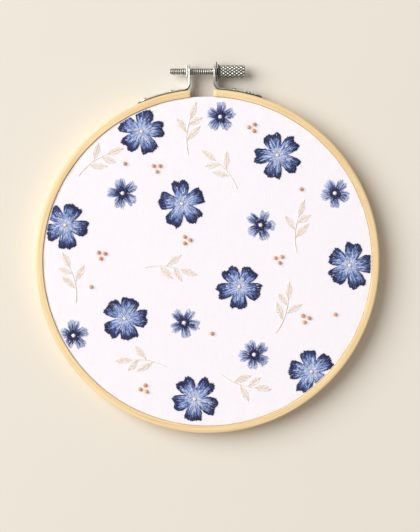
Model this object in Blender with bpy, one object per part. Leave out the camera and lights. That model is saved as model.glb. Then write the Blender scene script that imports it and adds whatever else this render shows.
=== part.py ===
"""Floral embroidery in a six inch wooden screw hoop, lying on its back with the stitched side up.

Metres, +Z up through the cloth, +Y towards the screw. The origin is the middle of the whole piece's
footprint, on the surface that it lies on. Pieces are placed from the hoop's centre, the empty hoop_centre.
"""

import math

import bmesh
import bpy
from mathutils import Matrix, Vector

MM = 0.001
GAP = 0.3 * MM  # between pieces that touch

# Outer hoop, a split ring
OUTER_RADIUS = 81.0 * MM
OUTER_WALL = 3.4 * MM
OUTER_DEPTH = 10.0 * MM
OUTER_EDGE = 0.9 * MM  # eased edges
OUTER_STEPS = 80
SPLIT_LEFT = -8.1 * MM
SPLIT_RIGHT = 2.9 * MM

# Cloth, drawn over the inner hoop and down between the two
CLOTH_THICKNESS = 1.0 * MM
CLOTH_TOP = 9.0 * MM
CLOTH_HEM = 1.0 * MM  # height of its trimmed edge over the back
CLOTH_BEND = 1.2 * MM  # radius of its outside where it turns down
CLOTH_FOLD = 0.3 * MM  # and of its inside
CLOTH_STEPS = 72

# Inner hoop, a closed ring under the cloth
INNER_WALL = 3.0 * MM
INNER_EDGE = 0.6 * MM
INNER_STEPS = 72

# Screw line, above the hoop's centre and half way up its depth
SCREW_RISE = 89.6 * MM
SCREW_HEIGHT = OUTER_DEPTH / 2

# Brackets, bent from strip
STRIP_THICKNESS = 0.8 * MM
STRIP_WIDTH = 7.0 * MM
STRIP_BEND = 3.2 * MM  # radius of the bend's middle line
EAR_HOLE_RADIUS = 1.9 * MM
FOOT_LEFT = -33.0 * MM
FOOT_RIGHT = 26.1 * MM
BEND_STEPS = 6
FOOT_STEPS = 7
END_STEPS = 5  # stations that round off each end of a strip
TIP_CUT = 0.4  # share of a step that is left flat at the very end

# Rivets
RIVET_RADIUS = 1.5 * MM
RIVET_HEIGHT = 0.8 * MM
RIVETS_LEFT = (-17.2 * MM, -29.6 * MM)
RIVETS_RIGHT = (12.7 * MM, 20.0 * MM)
RIVET_STEPS = 10

# Square nut
NUT_SIDE = 5.6 * MM
NUT_THICKNESS = 1.0 * MM
NUT_HOLE_RADIUS = 1.7 * MM
NUT_EDGE = 0.25 * MM

# Washer
WASHER_RADIUS = 4.6 * MM
WASHER_THICKNESS = 0.6 * MM
WASHER_STEPS = 24

# Thumbscrew
CREST_RADIUS = 1.55 * MM
ROOT_RADIUS = 1.2 * MM
PITCH = 1.0 * MM
SHANK_REACH = 17.7 * MM  # from the middle of the screw line to the tip
SHANK_SIDES = 10
SHANK_LEAD = 2  # rows of thread that taper to the tip
SHANK_TAPER = 0.7  # share of its radius at the tip
FLANGE_RADIUS = 3.5 * MM
FLANGE_THICKNESS = 0.7 * MM
HEAD_RADIUS = 3.2 * MM
HEAD_END = 17.7 * MM
HEAD_SIDES = 20
KNURL_ROWS = 12
KNURL_DEPTH = 0.3 * MM
HOLE_SIDES = 16

# Stitching, raised from the cloth
STITCH_REACH = 75.4 * MM  # motifs that run past this are cut short along the hoop
LARGE_RADIUS = 10.2 * MM
SMALL_RADIUS = 6.4 * MM
PETALS = 5
KNOT_RADIUS = 0.95 * MM
KNOT_SIDES = 6
KNOT_SINK = 0.2 * MM
TRIO_RADIUS = 2.1 * MM

# One petal: share of the half angle, share of the flower's radius
LARGE_PETAL = (
    (-0.97, 0.42),
    (-0.80, 0.88),
    (-0.40, 1.00),
    (0.00, 0.92),
    (0.40, 1.00),
    (0.80, 0.88),
)
SMALL_PETAL = (
    (-0.96, 0.34),
    (-0.66, 0.88),
    (-0.22, 1.00),
    (0.22, 1.00),
    (0.66, 0.88),
)

# Crown of a flower: share of its outline, height
LARGE_CROWN = ((1.00, 0.0), (1.00, 0.35 * MM), (0.72, 0.7 * MM))
SMALL_CROWN = ((1.00, 0.0), (1.00, 0.3 * MM), (0.66, 0.6 * MM))
SPRIG_HEIGHT = 0.5 * MM

# Large flowers: x, y, turn in degrees
LARGE_FLOWERS = (
    (-31.0, 61.0, 10.0),
    (33.0, 50.0, 38.0),
    (-67.0, 17.0, 62.0),
    (-12.0, 27.0, 25.0),
    (67.0, -2.0, 5.0),
    (15.0, -12.0, 52.0),
    (-39.0, -27.0, 0.0),
    (49.0, -52.0, 30.0),
    (-6.0, -65.0, 48.0),
)

# Small flowers: x, y, turn in degrees
SMALL_FLOWERS = (
    (6.0, 68.0, 15.0),
    (60.0, 32.0, 50.0),
    (25.0, 17.0, 0.0),
    (-40.0, 32.0, 33.0),
    (-11.0, -29.0, 60.0),
    (-63.0, -35.0, 20.0),
    (22.0, -44.0, 40.0),
)

# Sprigs: x and y of the foot of the stem, turn in degrees, which way it curls
SPRIGS = (
    (14.0, 34.0, 20.0, 1),
    (-61.0, 40.0, -35.0, -1),
    (-62.0, -20.0, -8.0, 1),
    (-30.0, -3.0, -75.0, -1),
    (42.0, 4.0, 15.0, -1),
    (32.0, -34.0, -38.0, 1),
    (-19.0, -50.0, 60.0, 1),
    (6.0, -53.0, -130.0, 1),
    (-9.0, 50.0, 15.0, -1),
)

# The sprig's stem and leaves
STEM_LENGTH = 16.5 * MM
STEM_HALF_WIDTH = 0.35 * MM
STEM_BEND = math.radians(34.0)
STEM_STEPS = 5
LEAF_HALF_WIDTH = 1.7 * MM

# Leaves: share of the stem, side (1 left, -1 right, 0 the tip), length, lean in degrees
LEAVES = (
    (0.44, 1, 8.6 * MM, 44.0),
    (0.64, -1, 8.0 * MM, 42.0),
    (0.86, 1, 6.6 * MM, 46.0),
    (1.00, 0, 9.4 * MM, 0.0),
)

# One leaf: share of its length, share of its half width
LEAF_OUTLINE = ((0.17, 0.22), (0.38, 0.84), (0.62, 1.00), (0.84, 0.60))

# Knots in threes: x, y, turn in degrees
TRIOS = (
    (-10.0, 10.0, 0.0),
    (33.5, 1.0, 40.0),
    (-50.0, 3.0, 20.0),
    (-30.0, -60.0, 70.0),
    (46.0, -27.0, 10.0),
    (21.0, 63.0, 55.0),
    (-24.0, 44.0, 30.0),
)

# Knots alone: x, y
SINGLES = ((2.0, -34.0), (60.0, -25.0), (-55.0, -12.0), (44.0, 34.0), (-39.0, 46.0))

# Places that follow from the sizes above
CLOTH_RADIUS = OUTER_RADIUS - OUTER_WALL - GAP
INNER_RADIUS = CLOTH_RADIUS - CLOTH_THICKNESS - GAP
INNER_DEPTH = CLOTH_TOP - CLOTH_THICKNESS - GAP
EAR_RADIUS = STRIP_WIDTH / 2
FOOT_RADIUS = OUTER_RADIUS + GAP + STRIP_THICKNESS / 2
WASHER_START = SPLIT_RIGHT + STRIP_THICKNESS + GAP
FLANGE_START = WASHER_START + WASHER_THICKNESS + GAP
NUT_START = SPLIT_LEFT - STRIP_THICKNESS - GAP - NUT_THICKNESS
STITCH_HEIGHT = CLOTH_TOP + GAP
HOOP_Y = (OUTER_RADIUS - SCREW_RISE - WASHER_RADIUS) / 2


def clear_scene():
    for obj in list(bpy.data.objects):
        bpy.data.objects.remove(obj)


def material(name, colour, roughness, metallic=0.0):
    made = bpy.data.materials.new(name)
    made.use_nodes = True
    shader = made.node_tree.nodes["Principled BSDF"]
    shader.inputs["Base Color"].default_value = (*colour, 1.0)
    shader.inputs["Roughness"].default_value = roughness
    shader.inputs["Metallic"].default_value = metallic
    made.diffuse_color = (*colour, 1.0)
    return made


def empty(name, location, parent=None):
    made = bpy.data.objects.new(name, None)
    made.location = location
    made.parent = parent
    bpy.context.collection.objects.link(made)
    return made


def mesh_of(name, shape, smooth_below=None):
    """The bmesh as a mesh, its faces turned outwards, and smooth across edges flatter than smooth_below."""
    bmesh.ops.recalc_face_normals(shape, faces=shape.faces[:])
    mesh = bpy.data.meshes.new(name)
    shape.to_mesh(mesh)
    shape.free()
    if smooth_below is not None:
        mesh.shade_smooth()
        mesh.set_sharp_from_angle(angle=smooth_below)
    return mesh


def node(name, mesh, parent, materials, location=(0.0, 0.0, 0.0)):
    made = bpy.data.objects.new(name, mesh)
    made.location = location
    made.parent = parent
    bpy.context.collection.objects.link(made)
    if not mesh.materials:
        for each in materials:
            mesh.materials.append(each)
    return made


def cutter(name, mesh, parent):
    made = node(name, mesh, parent, ())
    made.hide_render = True
    made.display_type = "WIRE"
    return made


def boolean(obj, other, operation):
    modifier = obj.modifiers.new(other.name, "BOOLEAN")
    modifier.operation = operation
    modifier.object = other
    modifier.material_mode = "TRANSFER"


def circle(radius, height, sides, wave=0.0):
    """A ring of points round +Z. wave pushes every other point in and out by that much."""
    points = []
    for i in range(sides):
        angle = 2 * math.pi * i / sides
        reach = radius + (wave if i % 2 else -wave)
        points.append(Vector((reach * math.cos(angle), reach * math.sin(angle), height)))
    return points


def skin(shape, rings, around=False, material_indices=None):
    """Quads from each ring of points to the next. The last ring joins the first, or both ends are capped."""
    rows = [[shape.verts.new(point) for point in ring] for ring in rings]
    follows = rows[1:] + (rows[:1] if around else [])
    for index, (near, far) in enumerate(zip(rows, follows)):
        for i in range(len(near)):
            j = (i + 1) % len(near)
            face = shape.faces.new((near[i], near[j], far[j], far[i]))
            face.material_index = material_indices[index] if material_indices else 0
    if not around:
        shape.faces.new(rows[0][::-1])
        top = shape.faces.new(rows[-1])
        top.material_index = material_indices[-1] if material_indices else 0


def box_mesh(name, low, high):
    shape = bmesh.new()
    bmesh.ops.create_cube(shape, size=1.0)
    size = Vector(high) - Vector(low)
    middle = (Vector(high) + Vector(low)) / 2
    bmesh.ops.scale(shape, vec=size, verts=shape.verts)
    bmesh.ops.translate(shape, vec=middle, verts=shape.verts)
    return mesh_of(name, shape)


def rod_mesh(name, radius, low, high, sides):
    shape = bmesh.new()
    skin(shape, [circle(radius, low, sides), circle(radius, high, sides)])
    return mesh_of(name, shape)


def eased(low, high, ease_low, ease_high):
    """A rectangle in radius and height, its back corners cut off and its front corners rounded."""
    half = ease_high * (1 - math.sqrt(0.5))
    return [
        (low[0] + ease_low, low[1]),
        (high[0] - ease_low, low[1]),
        (high[0], low[1] + ease_low),
        (high[0], high[1] - ease_high),
        (high[0] - half, high[1] - half),
        (high[0] - ease_high, high[1]),
        (low[0] + ease_high, high[1]),
        (low[0] + half, high[1] - half),
        (low[0], high[1] - ease_high),
        (low[0], low[1] + ease_low),
    ]


def ring_mesh(name, profile, steps, smooth_below):
    """A closed profile of (radius, height) points, turned round +Z."""
    shape = bmesh.new()
    rings = []
    for i in range(steps):
        angle = 2 * math.pi * i / steps
        rings.append([Vector((r * math.cos(angle), r * math.sin(angle), z)) for r, z in profile])
    skin(shape, rings, around=True)
    return mesh_of(name, shape, smooth_below)


def on_hoop(radius, x):
    """The point on the upper half of a circle about the hoop's centre, at this x."""
    return Vector((x, math.sqrt(radius**2 - x**2), 0.0))


def make_hoops(centre):
    pale_wood = material("pale_wood", (0.87, 0.66, 0.37), 0.5)
    low = (OUTER_RADIUS - OUTER_WALL, 0.0)
    high = (OUTER_RADIUS, OUTER_DEPTH)
    profile = eased(low, high, OUTER_EDGE / 2, OUTER_EDGE)
    outer = ring_mesh("outer_hoop", profile, OUTER_STEPS, math.radians(35))
    outer_hoop = node("outer_hoop", outer, centre, [pale_wood])
    split = box_mesh(
        "hoop_split",
        (SPLIT_LEFT, OUTER_RADIUS - 2 * OUTER_WALL, -OUTER_DEPTH),
        (SPLIT_RIGHT, OUTER_RADIUS + OUTER_WALL, 2 * OUTER_DEPTH),
    )
    boolean(outer_hoop, cutter("hoop_split", split, centre), "DIFFERENCE")

    plain_wood = material("plain_wood", (0.82, 0.62, 0.36), 0.6)
    low = (INNER_RADIUS - INNER_WALL, 0.0)
    high = (INNER_RADIUS, INNER_DEPTH)
    profile = [
        (low[0], low[1]),
        (high[0], low[1]),
        (high[0], high[1] - INNER_EDGE),
        (high[0] - INNER_EDGE, high[1]),
        (low[0], high[1]),
    ]
    inner = ring_mesh("inner_hoop", profile, INNER_STEPS, math.radians(35))
    node("inner_hoop", inner, centre, [plain_wood])


def knot_places():
    places = [Vector((x * MM, y * MM, 0.0)) for x, y in SINGLES]
    for x, y, turn in TRIOS:
        middle = Vector((x * MM, y * MM, 0.0))
        for i in range(3):
            angle = math.radians(turn) + 2 * math.pi * i / 3
            places.append(middle + TRIO_RADIUS * Vector((math.cos(angle), math.sin(angle), 0.0)))
    return places


def make_cloth(centre):
    """A drum skin: a flat face, a soft bend over the inner hoop and a wall down between the hoops."""
    cotton = material("white_cotton", (0.93, 0.89, 0.92), 0.9)
    orange = material("orange_thread", (0.80, 0.28, 0.13), 0.7)
    inside = CLOTH_RADIUS - CLOTH_THICKNESS
    underside = CLOTH_TOP - CLOTH_THICKNESS
    profile = (
        (CLOTH_RADIUS - CLOTH_BEND, CLOTH_TOP),
        (CLOTH_RADIUS - 0.3 * CLOTH_BEND, CLOTH_TOP - 0.3 * CLOTH_BEND),
        (CLOTH_RADIUS, CLOTH_TOP - CLOTH_BEND),
        (CLOTH_RADIUS, CLOTH_HEM),
        (inside, CLOTH_HEM),
        (inside, underside - CLOTH_FOLD),
        (inside - CLOTH_FOLD, underside),
    )
    shape = bmesh.new()
    skin(shape, [circle(radius, height, CLOTH_STEPS) for radius, height in profile])
    cloth = node("cloth", mesh_of("cloth", shape, math.radians(50)), centre, [cotton])

    # French knots, low domes that rise out of the face
    knots = bmesh.new()
    dome = ((1.0, -KNOT_SINK), (0.92, 0.5 * KNOT_RADIUS), (0.45, 0.9 * KNOT_RADIUS))
    for place in knot_places():
        rings = [circle(share * KNOT_RADIUS, CLOTH_TOP + height, KNOT_SIDES) for share, height in dome]
        skin(knots, [[point + place for point in ring] for ring in rings])
    knot_mesh = mesh_of("knots", knots)
    knot_mesh.materials.append(orange)
    boolean(cloth, cutter("knots", knot_mesh, centre), "UNION")


def strip_stations(side, split, foot):
    """Middle line of one bracket from the foot's tip to the ear's top: point, surface normal, half width."""
    ear_x = split + side * STRIP_THICKNESS / 2
    bend_x = ear_x + side * STRIP_BEND
    bend_y = math.sqrt((FOOT_RADIUS + STRIP_BEND) ** 2 - bend_x**2)
    tip_angle = math.asin(foot / FOOT_RADIUS)
    bend_angle = math.atan2(bend_x, bend_y)
    end_angle = EAR_RADIUS / FOOT_RADIUS
    stations = []

    # Foot: rounded tip, then along the hoop. The tip stops just short of a point
    angles = []
    widths = []
    for i in range(END_STEPS):
        turn = math.pi / 2 * (i + TIP_CUT) / (END_STEPS + TIP_CUT)
        angles.append(tip_angle - side * end_angle * (1 - math.cos(turn)))
        widths.append(EAR_RADIUS * math.sin(turn))
    start = angles[-1]
    angles += [start + (bend_angle - start) * i / FOOT_STEPS for i in range(1, FOOT_STEPS + 1)]
    widths += [EAR_RADIUS] * FOOT_STEPS
    for angle, width in zip(angles, widths):
        normal = Vector((math.sin(angle), math.cos(angle), 0.0))
        stations.append((normal * FOOT_RADIUS, normal, width))

    # Bend, about a point outside the corner
    middle = Vector((bend_x, bend_y, 0.0))
    turn = math.pi / 2 - abs(bend_angle)
    for i in range(1, BEND_STEPS + 1):
        angle = bend_angle + side * turn * i / BEND_STEPS
        normal = Vector((math.sin(angle), math.cos(angle), 0.0))
        stations.append((middle - normal * STRIP_BEND, normal, EAR_RADIUS))

    # Ear: straight up past the screw, with a round top
    normal = Vector((side, 0.0, 0.0))
    stations[-1] = (stations[-1][0], normal, EAR_RADIUS)
    for i in range(END_STEPS + 1):
        angle = math.pi / 2 * i / (END_STEPS + TIP_CUT)
        point = Vector((ear_x, SCREW_RISE + EAR_RADIUS * math.sin(angle), 0.0))
        stations.append((point, normal, EAR_RADIUS * math.cos(angle)))
    return stations


def make_bracket(name, side, split, foot, centre, steel, hole):
    shape = bmesh.new()
    rings = []
    for point, normal, half_width in strip_stations(side, split, foot):
        across = normal * STRIP_THICKNESS / 2
        up = Vector((0.0, 0.0, half_width))
        rings.append([point - across - up, point + across - up, point + across + up, point - across + up])
    skin(shape, rings)
    bracket = node(name, mesh_of(name, shape, math.radians(35)), centre, [steel], (0.0, 0.0, SCREW_HEIGHT))
    boolean(bracket, hole, "DIFFERENCE")


def make_rivets(name, places, centre, steel):
    dome = ((1.0, 0.0), (1.0, 0.25), (0.8, 0.7), (0.4, 1.0))
    shape = bmesh.new()
    skin(shape, [circle(share * RIVET_RADIUS, rise * RIVET_HEIGHT, RIVET_STEPS) for share, rise in dome])
    mesh = mesh_of("rivet", shape, math.radians(50))
    for number, x in enumerate(places, start=1):
        seat = on_hoop(FOOT_RADIUS + STRIP_THICKNESS / 2 + GAP, x)
        seat.z = SCREW_HEIGHT
        rivet = node(f"{name}_{number}", mesh, centre, [steel], seat)
        rivet.rotation_euler = Vector((seat.x, seat.y, 0.0)).to_track_quat("Z", "Y").to_euler()


def make_nut(line, steel):
    """Built with its hole along +Z, which the line turns to +X."""
    half = NUT_SIDE / 2
    block = box_mesh("nut", (-half, -half, NUT_START), (half, half, NUT_START + NUT_THICKNESS))
    nut = node("nut", block, line, [steel])
    bevel = nut.modifiers.new("eased_edges", "BEVEL")
    bevel.width = NUT_EDGE
    bevel.segments = 1
    through = (NUT_START - PITCH, NUT_START + NUT_THICKNESS + PITCH)
    hole = rod_mesh("nut_hole", NUT_HOLE_RADIUS, *through, HOLE_SIDES)
    boolean(nut, cutter("nut_hole", hole, line), "DIFFERENCE")


def make_washer(line, steel):
    edge = 0.25 * WASHER_THICKNESS
    profile = (
        (EAR_HOLE_RADIUS, 0.0),
        (WASHER_RADIUS - edge, 0.0),
        (WASHER_RADIUS, edge),
        (WASHER_RADIUS, WASHER_THICKNESS - edge),
        (WASHER_RADIUS - edge, WASHER_THICKNESS),
        (EAR_HOLE_RADIUS, WASHER_THICKNESS),
    )
    placed = [(radius, height + WASHER_START) for radius, height in profile]
    node("washer", ring_mesh("washer", placed, WASHER_STEPS, math.radians(35)), line, [steel])


def thread_mesh(name, start, end):
    """A rod whose surface rises and falls along a helix: even rows are roots, odd rows crests.

    Rows are half a pitch apart, so a full turn ends on the row two further on: one strip wound up the rod.
    """
    shape = bmesh.new()
    rows = 2 * int((end - start) / PITCH)
    grid = []
    for k in range(rows + 1):
        taper = min(1.0, SHANK_TAPER + (1 - SHANK_TAPER) * k / SHANK_LEAD)
        radius = taper * (CREST_RADIUS if k % 2 else ROOT_RADIUS)
        ring = []
        for j in range(SHANK_SIDES):
            angle = 2 * math.pi * j / SHANK_SIDES
            height = start + PITCH * (k / 2 + j / SHANK_SIDES)
            ring.append(shape.verts.new((radius * math.cos(angle), radius * math.sin(angle), height)))
        grid.append(ring)
    for k in range(rows):
        for j in range(SHANK_SIDES - 1):
            shape.faces.new((grid[k][j], grid[k][j + 1], grid[k + 1][j + 1], grid[k + 1][j]))
    last = SHANK_SIDES - 1
    for k in range(rows - 2):
        shape.faces.new((grid[k][last], grid[k + 2][0], grid[k + 3][0], grid[k + 1][last]))
    tip_loop = grid[0] + [grid[2][0], grid[1][0]]
    top_loop = grid[rows] + [grid[rows - 1][last], grid[rows - 2][last]]
    for loop in (tip_loop, top_loop):
        height = sum(vert.co.z for vert in loop) / len(loop)
        middle = shape.verts.new((0.0, 0.0, height))
        for i in range(len(loop)):
            shape.faces.new((loop[i], loop[(i + 1) % len(loop)], middle))
    return mesh_of(name, shape)


def head_mesh(name):
    """Flange, neck and a head with a diamond knurl, turned along +Z."""
    flange_end = FLANGE_START + FLANGE_THICKNESS
    edge = KNURL_DEPTH
    shape = bmesh.new()
    rings = [
        circle(FLANGE_RADIUS - edge, FLANGE_START, HEAD_SIDES),
        circle(FLANGE_RADIUS, FLANGE_START + edge, HEAD_SIDES),
        circle(FLANGE_RADIUS, flange_end, HEAD_SIDES),
        circle(HEAD_RADIUS - 2 * KNURL_DEPTH, flange_end, HEAD_SIDES),
    ]
    first = flange_end + edge
    last = HEAD_END - 2 * edge
    for row in range(KNURL_ROWS):
        height = first + (last - first) * row / (KNURL_ROWS - 1)
        wave = KNURL_DEPTH / 2 * (1 if row % 2 else -1)
        rings.append(circle(HEAD_RADIUS - KNURL_DEPTH / 2, height, HEAD_SIDES, wave))
    rings.append(circle(HEAD_RADIUS - 3 * KNURL_DEPTH, HEAD_END, HEAD_SIDES))
    skin(shape, rings)
    return mesh_of(name, shape)


def make_thumbscrew(line, steel):
    """One turned piece: the thread runs up inside the head. Its origin is on its axis."""
    shank = thread_mesh("thumbscrew", -SHANK_REACH, FLANGE_START + 2 * PITCH)
    thumbscrew = node("thumbscrew", shank, line, [steel])
    boolean(thumbscrew, cutter("thumbscrew_head", head_mesh("thumbscrew_head"), line), "UNION")


def petals(table, radius):
    points = []
    for petal in range(PETALS):
        for turn, reach in table:
            angle = math.pi / PETALS * (2 * petal + turn)
            points.append(Vector((reach * radius * math.cos(angle), reach * radius * math.sin(angle), 0.0)))
    return points


def crowned_mesh(name, outline, crown):
    """A low pad of stitches: an outline carried up and drawn in, with its last material on the top."""
    shape = bmesh.new()
    rings = [[Vector((share * p.x, share * p.y, height)) for p in outline] for share, height in crown]
    skin(shape, rings, material_indices=[0] * (len(crown) - 1) + [1])
    return mesh_of(name, shape)


def make_flowers(name, mesh, threads, table, radius, centre, rim):
    for number, (x, y, turn) in enumerate(table, start=1):
        place = Vector((x * MM, y * MM, STITCH_HEIGHT))
        flower = node(f"{name}_{number}", mesh, centre, threads, place)
        flower.rotation_euler.z = math.radians(turn)
        if place.xy.length + radius > STITCH_REACH:
            boolean(flower, rim, "INTERSECT")


def turned(vector, angle):
    return Matrix.Rotation(angle, 3, "Z") @ vector


def leaf_edge(base, direction, length):
    """Up a leaf's left side, round its tip and down the right side."""
    across = turned(direction, math.pi / 2) * LEAF_HALF_WIDTH
    left = [base + direction * length * share + across * width for share, width in LEAF_OUTLINE]
    right = [base + direction * length * share - across * width for share, width in reversed(LEAF_OUTLINE)]
    return left + [base + direction * length] + right


def sprig_outline(hand):
    """Up the left of a bent stem and down its right, out and back round each leaf on the way."""
    radius = STEM_LENGTH / STEM_BEND

    def stem(share):
        angle = STEM_BEND * share
        point = Vector((hand * radius * (math.cos(angle) - 1), radius * math.sin(angle), 0.0))
        return point, turned(Vector((0.0, 1.0, 0.0)), hand * angle)

    stations = [("stem", i / STEM_STEPS, None) for i in range(STEM_STEPS)]
    outline = []
    for side in (1, -1):
        leaves = [leaf for leaf in LEAVES if leaf[1] * hand == side]
        walk = stations + [("leaf", share, (length, lean)) for share, _, length, lean in leaves]
        for kind, share, leaf in sorted(walk, key=lambda each: each[1] * side):
            point, along = stem(share)
            if kind == "stem":
                outline.append(point + turned(along, side * math.pi / 2) * STEM_HALF_WIDTH)
            else:
                outline += leaf_edge(point, turned(along, side * math.radians(leaf[1])), leaf[0])
        if side == 1:
            share, _, length, lean = LEAVES[-1]
            point, along = stem(share)
            outline += leaf_edge(point, along, length)
    return outline


def sprig_mesh(name, hand):
    shape = bmesh.new()
    outline = sprig_outline(hand)
    lift = Vector((0.0, 0.0, SPRIG_HEIGHT))
    skin(shape, [outline, [point + lift for point in outline]])
    return mesh_of(name, shape)


def make_stitching(centre):
    navy = material("navy_thread", (0.030, 0.045, 0.16), 0.55)
    blue = material("blue_thread", (0.10, 0.16, 0.42), 0.55)
    pale_blue = material("pale_blue_thread", (0.22, 0.30, 0.56), 0.55)
    beige = material("beige_thread", (0.80, 0.66, 0.55), 0.65)
    rim = cutter("rim", rod_mesh("rim", STITCH_REACH, 0.0, 2 * OUTER_DEPTH, CLOTH_STEPS), centre)
    large = crowned_mesh("flower_large", petals(LARGE_PETAL, LARGE_RADIUS), LARGE_CROWN)
    make_flowers("flower_large", large, [navy, blue], LARGE_FLOWERS, LARGE_RADIUS, centre, rim)
    small = crowned_mesh("flower_small", petals(SMALL_PETAL, SMALL_RADIUS), SMALL_CROWN)
    make_flowers("flower_small", small, [pale_blue, navy], SMALL_FLOWERS, SMALL_RADIUS, centre, rim)
    sprigs = {hand: sprig_mesh("sprig", hand) for hand in (1, -1)}
    for number, (x, y, turn, hand) in enumerate(SPRIGS, start=1):
        place = Vector((x * MM, y * MM, STITCH_HEIGHT))
        sprig = node(f"sprig_{number}", sprigs[hand], centre, [beige], place)
        sprig.rotation_euler.z = math.radians(turn)


def make_fastening(centre):
    steel = material("bracket_steel", (0.62, 0.61, 0.57), 0.32, 1.0)
    screw_steel = material("screw_steel", (0.50, 0.50, 0.46), 0.38, 1.0)
    line = empty("screw_line", (0.0, SCREW_RISE, SCREW_HEIGHT), centre)
    line.rotation_euler = (0.0, math.pi / 2, 0.0)
    through = (SPLIT_LEFT - STRIP_BEND, SPLIT_RIGHT + STRIP_BEND)
    hole = cutter("ear_hole", rod_mesh("ear_hole", EAR_HOLE_RADIUS, *through, HOLE_SIDES), line)
    make_bracket("bracket_left", -1, SPLIT_LEFT, FOOT_LEFT, centre, steel, hole)
    make_bracket("bracket_right", 1, SPLIT_RIGHT, FOOT_RIGHT, centre, steel, hole)
    make_rivets("rivet_left", RIVETS_LEFT, centre, steel)
    make_rivets("rivet_right", RIVETS_RIGHT, centre, steel)
    make_nut(line, screw_steel)
    make_washer(line, screw_steel)
    make_thumbscrew(line, screw_steel)


clear_scene()
hoop_centre = empty("hoop_centre", (0.0, HOOP_Y, 0.0))
make_hoops(hoop_centre)
make_cloth(hoop_centre)
make_stitching(hoop_centre)
make_fastening(hoop_centre)
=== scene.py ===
"""Looks of a hoop of floral embroidery: stitched white cotton, stretched in a wooden screw hoop.

Metres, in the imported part's own frame: +Z up out of the stitched face, +Y towards the screw. Tables of
places on the cloth are in millimetres from the hoop's centre.
"""

import math

import bmesh
import bpy
import numpy as np
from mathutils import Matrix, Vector


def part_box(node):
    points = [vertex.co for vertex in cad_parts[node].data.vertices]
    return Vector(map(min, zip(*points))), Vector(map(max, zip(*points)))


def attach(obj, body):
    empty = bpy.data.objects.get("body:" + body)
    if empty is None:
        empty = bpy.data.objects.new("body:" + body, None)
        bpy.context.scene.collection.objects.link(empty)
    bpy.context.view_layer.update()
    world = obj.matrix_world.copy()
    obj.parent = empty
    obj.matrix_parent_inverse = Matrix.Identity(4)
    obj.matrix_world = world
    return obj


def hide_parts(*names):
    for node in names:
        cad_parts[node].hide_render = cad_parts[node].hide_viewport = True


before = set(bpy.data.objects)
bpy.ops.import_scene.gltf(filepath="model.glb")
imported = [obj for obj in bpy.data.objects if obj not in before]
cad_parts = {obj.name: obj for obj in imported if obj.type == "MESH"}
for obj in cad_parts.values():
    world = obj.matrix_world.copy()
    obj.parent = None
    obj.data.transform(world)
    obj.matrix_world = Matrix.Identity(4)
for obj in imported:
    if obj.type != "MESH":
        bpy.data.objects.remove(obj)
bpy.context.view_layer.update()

# Camera, straight above the hoop and far enough away to show it without a slant.
# Its picture is 250.5 mm tall at the cloth, and centred a little below and to the right of the hoop.
MM = 0.001
hoop_low, hoop_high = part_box("outer_hoop")
hoop_radius = (hoop_high.x - hoop_low.x) / 2
hoop_centre = Vector((0.0, hoop_low.y + hoop_radius, 0.0))
cloth_top = 9.3 * MM
picture_height = 250.5 * MM
camera_distance = 1200 * MM
off_centre = Vector((1.18 * MM, -2.26 * MM, cloth_top + camera_distance))

camera = bpy.data.objects.new("camera", bpy.data.cameras.new("camera"))
camera.data.sensor_fit = "VERTICAL"
camera.data.sensor_height = 36.0
camera.data.lens = camera.data.sensor_height * camera_distance / picture_height
camera.location = hoop_centre + off_centre
bpy.context.scene.collection.objects.link(camera)
bpy.context.scene.camera = camera
bpy.context.scene.view_settings.view_transform = "Standard"

# Light: one very broad, slightly cool window high on the left, which leaves long soft shadows on the
# right, and an even, warm grey room, which fills them and which the metal mirrors.
WINDOW_TOWARDS = Vector((-0.66, 0.26, 0.68))
WINDOW_DISTANCE = 4.0
WINDOW_WIDTH = 3.8
WINDOW_WATTS = 200.0
WINDOW_COLOUR = (0.956, 0.978, 1.0)
ROOM_COLOUR = (1.0, 0.95, 0.90, 1.0)
ROOM_STRENGTH = 0.36
room = bpy.data.worlds.new("room")
room.use_nodes = True
room.node_tree.nodes["Background"].inputs["Color"].default_value = ROOM_COLOUR
room.node_tree.nodes["Background"].inputs["Strength"].default_value = ROOM_STRENGTH
bpy.context.scene.world = room
lamp = bpy.data.lights.new("window", "AREA")
lamp.shape = "DISK"
lamp.size = WINDOW_WIDTH
lamp.energy = WINDOW_WATTS
lamp.color = WINDOW_COLOUR
window = bpy.data.objects.new("window", lamp)
window.location = hoop_centre + WINDOW_TOWARDS.normalized() * WINDOW_DISTANCE
window.rotation_euler = WINDOW_TOWARDS.to_track_quat("Z", "Y").to_euler()
bpy.context.scene.collection.objects.link(window)


# Floor: the plain pale surface that the hoop lies on.
def new_finish(name, roughness, constants=(), metallic=0.0):
    """A material, its node tree and its shader, with the shader's constant values set."""
    finish = bpy.data.materials.new(name)
    finish.use_nodes = True
    shader = finish.node_tree.nodes["Principled BSDF"]
    shader.inputs["Roughness"].default_value = roughness
    shader.inputs["Metallic"].default_value = metallic
    for socket, value in dict(constants).items():
        shader.inputs[socket].default_value = value
    return finish, finish.node_tree, shader


FLOOR_COLOUR = (0.800, 0.742, 0.650, 1.0)
FLOOR_REACH = 3.0
floor_finish, _, floor_shader = new_finish("pale_floor", 0.9, {"Base Color": FLOOR_COLOUR})
shape = bmesh.new()
bmesh.ops.create_grid(shape, x_segments=1, y_segments=1, size=FLOOR_REACH)
floor_mesh = bpy.data.meshes.new("floor")
shape.to_mesh(floor_mesh)
shape.free()
floor_mesh.materials.append(floor_finish)
floor = bpy.data.objects.new("floor", floor_mesh)
bpy.context.scene.collection.objects.link(floor)


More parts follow.
